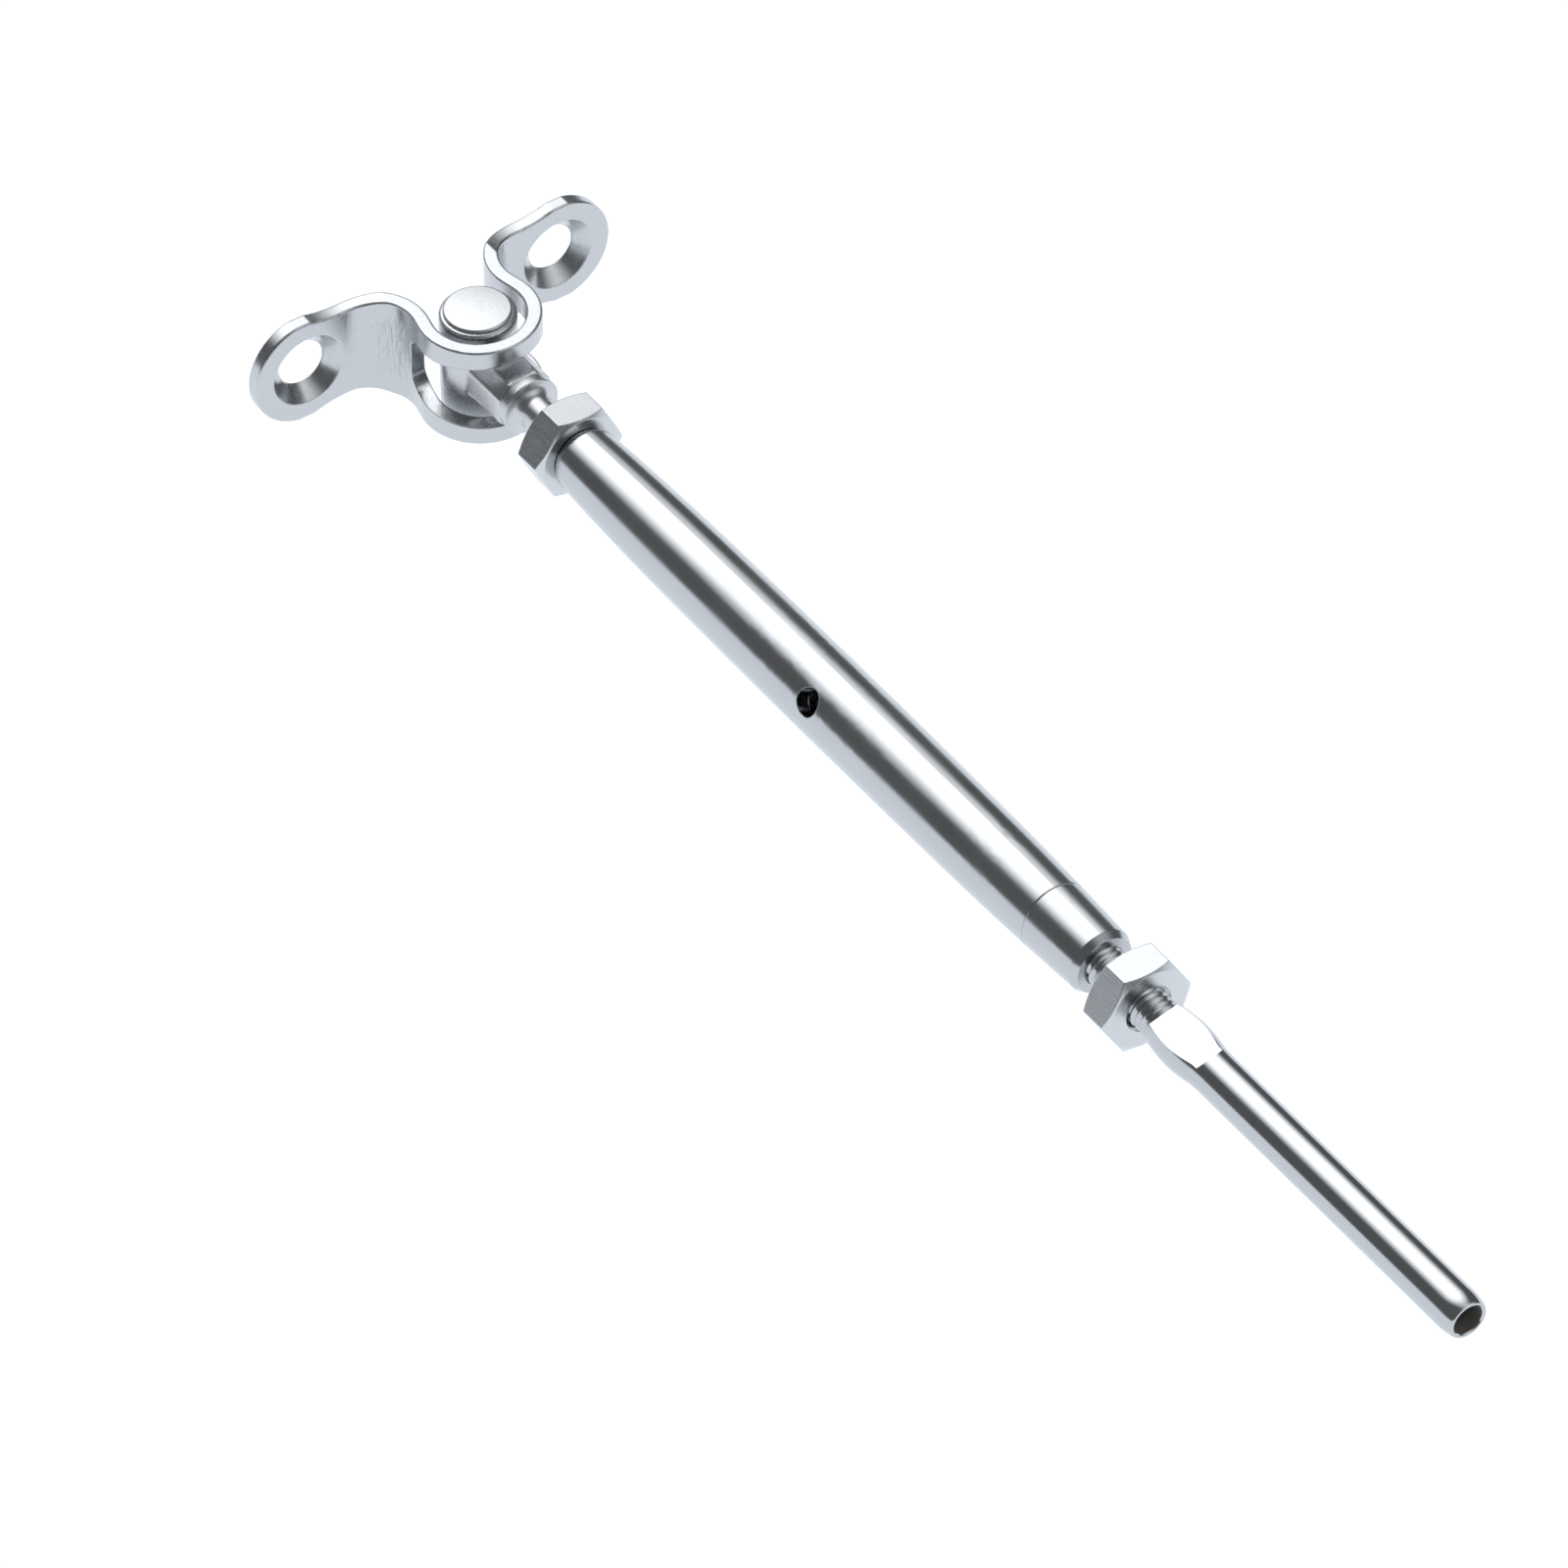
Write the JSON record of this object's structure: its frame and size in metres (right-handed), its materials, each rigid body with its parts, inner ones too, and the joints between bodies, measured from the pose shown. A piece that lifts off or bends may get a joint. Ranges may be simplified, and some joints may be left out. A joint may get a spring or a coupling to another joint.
{
  "type": "rigging turnbuckle",
  "caption": "Closed-body turnbuckle that joins a wire stay to a post and adjusts its tension, with a swinging deck toggle, lock nuts and a swage terminal.",
  "frame": {"origin": "midway between the two screw holes, on the flat face that meets the post", "axes": "+X along the turnbuckle from the post to the mouth of the swage tube; +Z along the toggle's swing axis; +Y along the line through the two screw holes"},
  "size_m": [0.2331, 0.0574, 0.0172],
  "materials": {
    "polished_strip": "polished stainless strip",
    "polished_casting": "polished stainless casting",
    "bright_nut": "bright turned stainless",
    "polished_tube": "polished stainless tube",
    "polished_stud": "polished stainless bar with rolled thread"
  },
  "bodies": {
    "bracket": {"deck_bracket": "polished_strip"},
    "toggle": {"toggle_bolt": "polished_casting"},
    "right_nut": {"right_hand_lock_nut": "bright_nut"},
    "body": {"turnbuckle_body": "polished_tube", "left_hand_end": "polished_tube"},
    "stud": {"swage_stud": "polished_stud"},
    "left_nut": {"left_hand_lock_nut": "bright_nut"}
  },
  "joints": [
    {"name": "toggle_swing", "type": "hinge", "parent": "bracket", "child": "toggle", "pos_m": [0.013, 0, 0], "axis": [0, 0, 1], "range_deg": [-90, 90]},
    {"name": "right_nut_travel", "type": "slide", "parent": "toggle", "child": "right_nut", "axis": [1, 0, 0], "range_m": [0, 0.026]},
    {"name": "body_turn", "type": "hinge", "parent": "right_nut", "child": "body", "pos_m": [0.0969, 0, 0], "axis": [1, 0, 0], "range_deg": [0, 9360]},
    {"name": "stud_travel", "type": "slide", "parent": "toggle", "child": "stud", "axis": [1, 0, 0], "range_m": [0, 0.052]},
    {"name": "left_nut_travel", "type": "slide", "parent": "stud", "child": "left_nut", "axis": [1, 0, 0], "range_m": [-0.0043, 0.0036]}
  ],
  "couplings": [
    {"joint": "body_turn", "follows": "right_nut_travel", "rad_per_m": 6283.2},
    {"joint": "stud_travel", "follows": "right_nut_travel", "ratio": 2}
  ]
}
